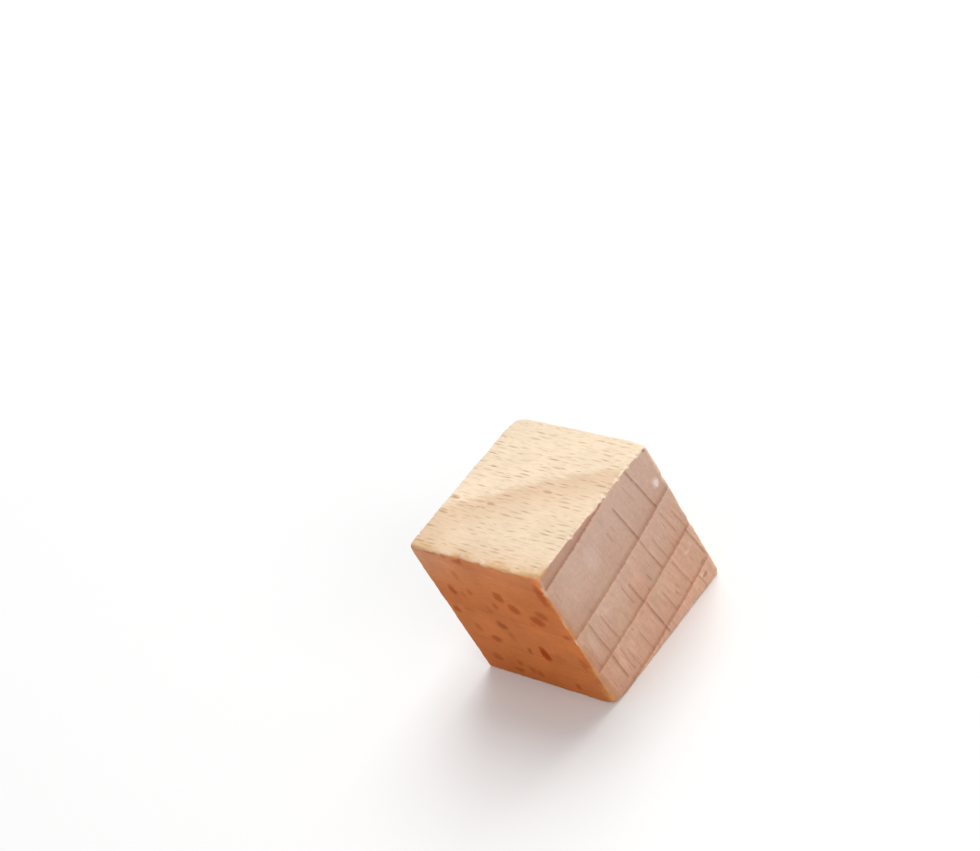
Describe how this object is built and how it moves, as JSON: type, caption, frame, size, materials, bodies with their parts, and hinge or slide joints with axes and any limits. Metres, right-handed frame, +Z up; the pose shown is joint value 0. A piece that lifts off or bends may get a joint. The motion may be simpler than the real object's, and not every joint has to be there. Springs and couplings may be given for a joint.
{
  "type": "wooden cube",
  "caption": "Plain solid beech cube, sanded, with eased edges and slightly worn corners; rests on any face.",
  "frame": {"origin": "middle of the underside", "axes": "+X along the grain, so the +X and -X faces are end grain; +Z up, away from the resting face; +Y towards the back face"},
  "size_m": [0.025, 0.025, 0.025],
  "materials": {
    "beech": "bare sanded beech, unvarnished"
  },
  "bodies": {
    "root": {"wooden_cube": "beech"}
  },
  "joints": []
}
